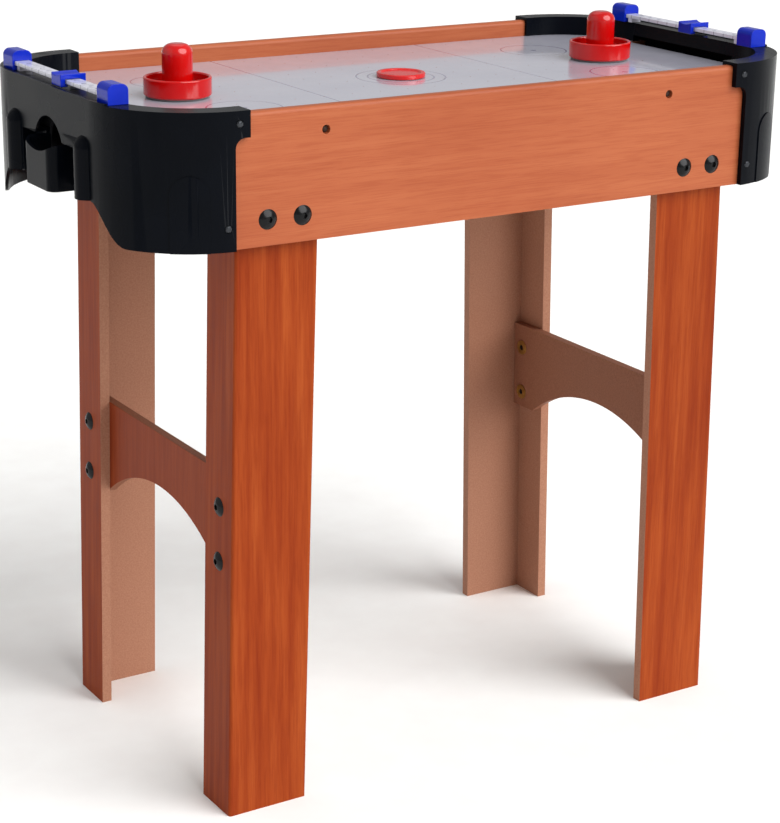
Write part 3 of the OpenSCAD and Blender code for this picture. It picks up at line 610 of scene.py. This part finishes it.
posts = {
    # high-gloss moulding: saturated blue with sharp highlights
    "name": "royal blue polystyrene, moulded gloss",
    "tones": ["#031E9C", "#0628B2"],
    "rough": (0.16, 0.22), "texture": 4, "depth": 0.01, "edge": 0.8, "steps": 3,
    "shader": {"IOR": 1.59, "Specular IOR Level": 0.12, "Coat Weight": 0.08, "Coat Roughness": 0.06},
}
dress(["score_posts_left", "score_posts_right", "score_slider_left", "score_slider_right"],
      moulded, posts)

rails = {
    # white moulding with a pad-printed scale: gloss, crisp dark marks
    "name": "white polystyrene rail, pad-printed scale",
    "tones": ["#CFCFDC", "#DADAE6"],
    "ink": "#2B2E57",
    "inkWeight": 0.85,
    "drift": 30,           # size of the slow change in tone, mm
    "step": 15.0,          # between two numbers, mm
    "tick": 0.35,          # half the width of a mark, mm
    "rough": (0.18, 0.26), "edge": 0.3,
    "shader": {"IOR": 1.59, "Coat Weight": 0.3},
}

numbers = {
    # pad-printing ink: flat and dark, slightly raised
    "name": "dark blue pad-printing ink",
    "tones": ["#23264C", "#2B2E57"],
    "rough": (0.4, 0.5), "texture": 1, "depth": 0.01, "shader": {"IOR": 1.5},
    "last": 10,            # the scale runs from 0
    "size": 6.5,           # height of a digit, mm
    "half": 0.05,          # half the film's thickness, mm
    "lift": 0.02,          # its middle above the rail, mm
}


# a scale's marks lie halfway between its numbers
def railPlastic(look):
    made, tree, shader, where = startMaterial(look["name"], look["shader"])
    slow = grainNoise(tree, where, [look["drift"]] * 3, detail=2)
    tone = addNode(tree, "ValToRGB", {"Fac": slow}, stopsFor(look["tones"]))
    across = addNode(tree, "SeparateXYZ", {0: where}).outputs["Y"]
    half = look["step"] / perMetre / 2
    turn = addNode(tree, "Math", {0: across, 1: half, 2: -half}, operation="WRAP")
    fromNumber = addNode(tree, "Math", {0: turn.outputs[0]}, operation="ABSOLUTE")
    mark = addNode(tree, "Math", {0: fromNumber.outputs[0], 1: half, 2: look["tick"] / perMetre},
                   operation="COMPARE")
    weight = addNode(tree, "Math", {0: mark.outputs[0], 1: look["inkWeight"]}, operation="MULTIPLY")
    colour = addNode(tree, "Mix", {"Factor": weight.outputs[0], mixA: tone.outputs[0],
                                   mixB: toLinear(look["ink"])}, data_type="RGBA")
    joinSurface(tree, shader, colour.outputs[mixOut], slow, look["rough"])
    return made


# one digit or two as a flat mesh about the origin, read along Y
def numberMesh(number):
    text = bpy.data.curves.new("number", "FONT")
    text.body = str(number)
    text.size = numbers["size"] / perMetre
    text.align_x = "CENTER"
    text.align_y = "CENTER"
    text.extrude = numbers["half"] / perMetre
    holder = addObject("number", text)
    bpy.context.view_layer.update()
    mesh = bpy.data.meshes.new_from_object(holder.evaluated_get(bpy.context.evaluated_depsgraph_get()))
    bpy.data.objects.remove(holder)
    bpy.data.curves.remove(text)
    return mesh


# prints the numbers along the rail's top, to be read from its end of the table
def addNumbers(node, facing, ink):
    low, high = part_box(node)
    middle = (low[0] + high[0]) / 2
    turn = Matrix.Rotation(math.radians(-90 * facing), 4, "Z")
    for number in range(numbers["last"] + 1):
        across = facing * (number - numbers["last"] / 2) * rails["step"] / perMetre
        spot = Vector((middle, across, high[2] + numbers["lift"] / perMetre))
        mesh = numberMesh(number)
        mesh.transform(Matrix.Translation(spot) @ turn)
        mesh.materials.clear()
        mesh.materials.append(ink)
        piece = addObject("%s_number_%d" % (node, number), mesh)
        tie(piece, node, False)


ink = moulded(numbers)
white = railPlastic(rails)
for node, facing in (("score_rail_left", -1), ("score_rail_right", 1)):
    refine(node, white, rails["edge"])
    addNumbers(node, facing, ink)
print("scorers finished")

pushers = {
    # glossy moulding: deep red, with sharp highlights round the rim and on the dome
    "name": "red polystyrene pusher, moulded gloss",
    "tones": ["#B40404", "#C40806"],
    "rough": (0.12, 0.18), "texture": 6, "depth": 0.01,
    "shader": {"IOR": 1.59, "Specular IOR Level": 0.35, "Coat Weight": 0.15, "Coat Roughness": 0.05},
}
dress(["pusher_left", "pusher_right"], moulded, pushers)

felts = {
    # pressed wool felt: dull grey with a fuzzy, broken surface
    "name": "pressed grey felt, die-cut",
    "tones": ["#4A4A4C", "#5A5A5D"],
    "rough": (0.9, 0.98), "texture": 0.7, "depth": 0.25, "shader": {"Sheen Weight": 0.4},
}
dress(["pusher_felt_left", "pusher_felt_right"], moulded, felts)

puckLook = {
    # polished moulding, worn a little duller than the pushers by sliding
    "name": "red polycarbonate puck, moulded gloss",
    "tones": ["#C01010", "#D01A1A"],
    "rough": (0.18, 0.28), "texture": 5, "depth": 0.01, "shader": {"IOR": 1.58},
}
dress(["puck"], moulded, puckLook)
print("game pieces finished")
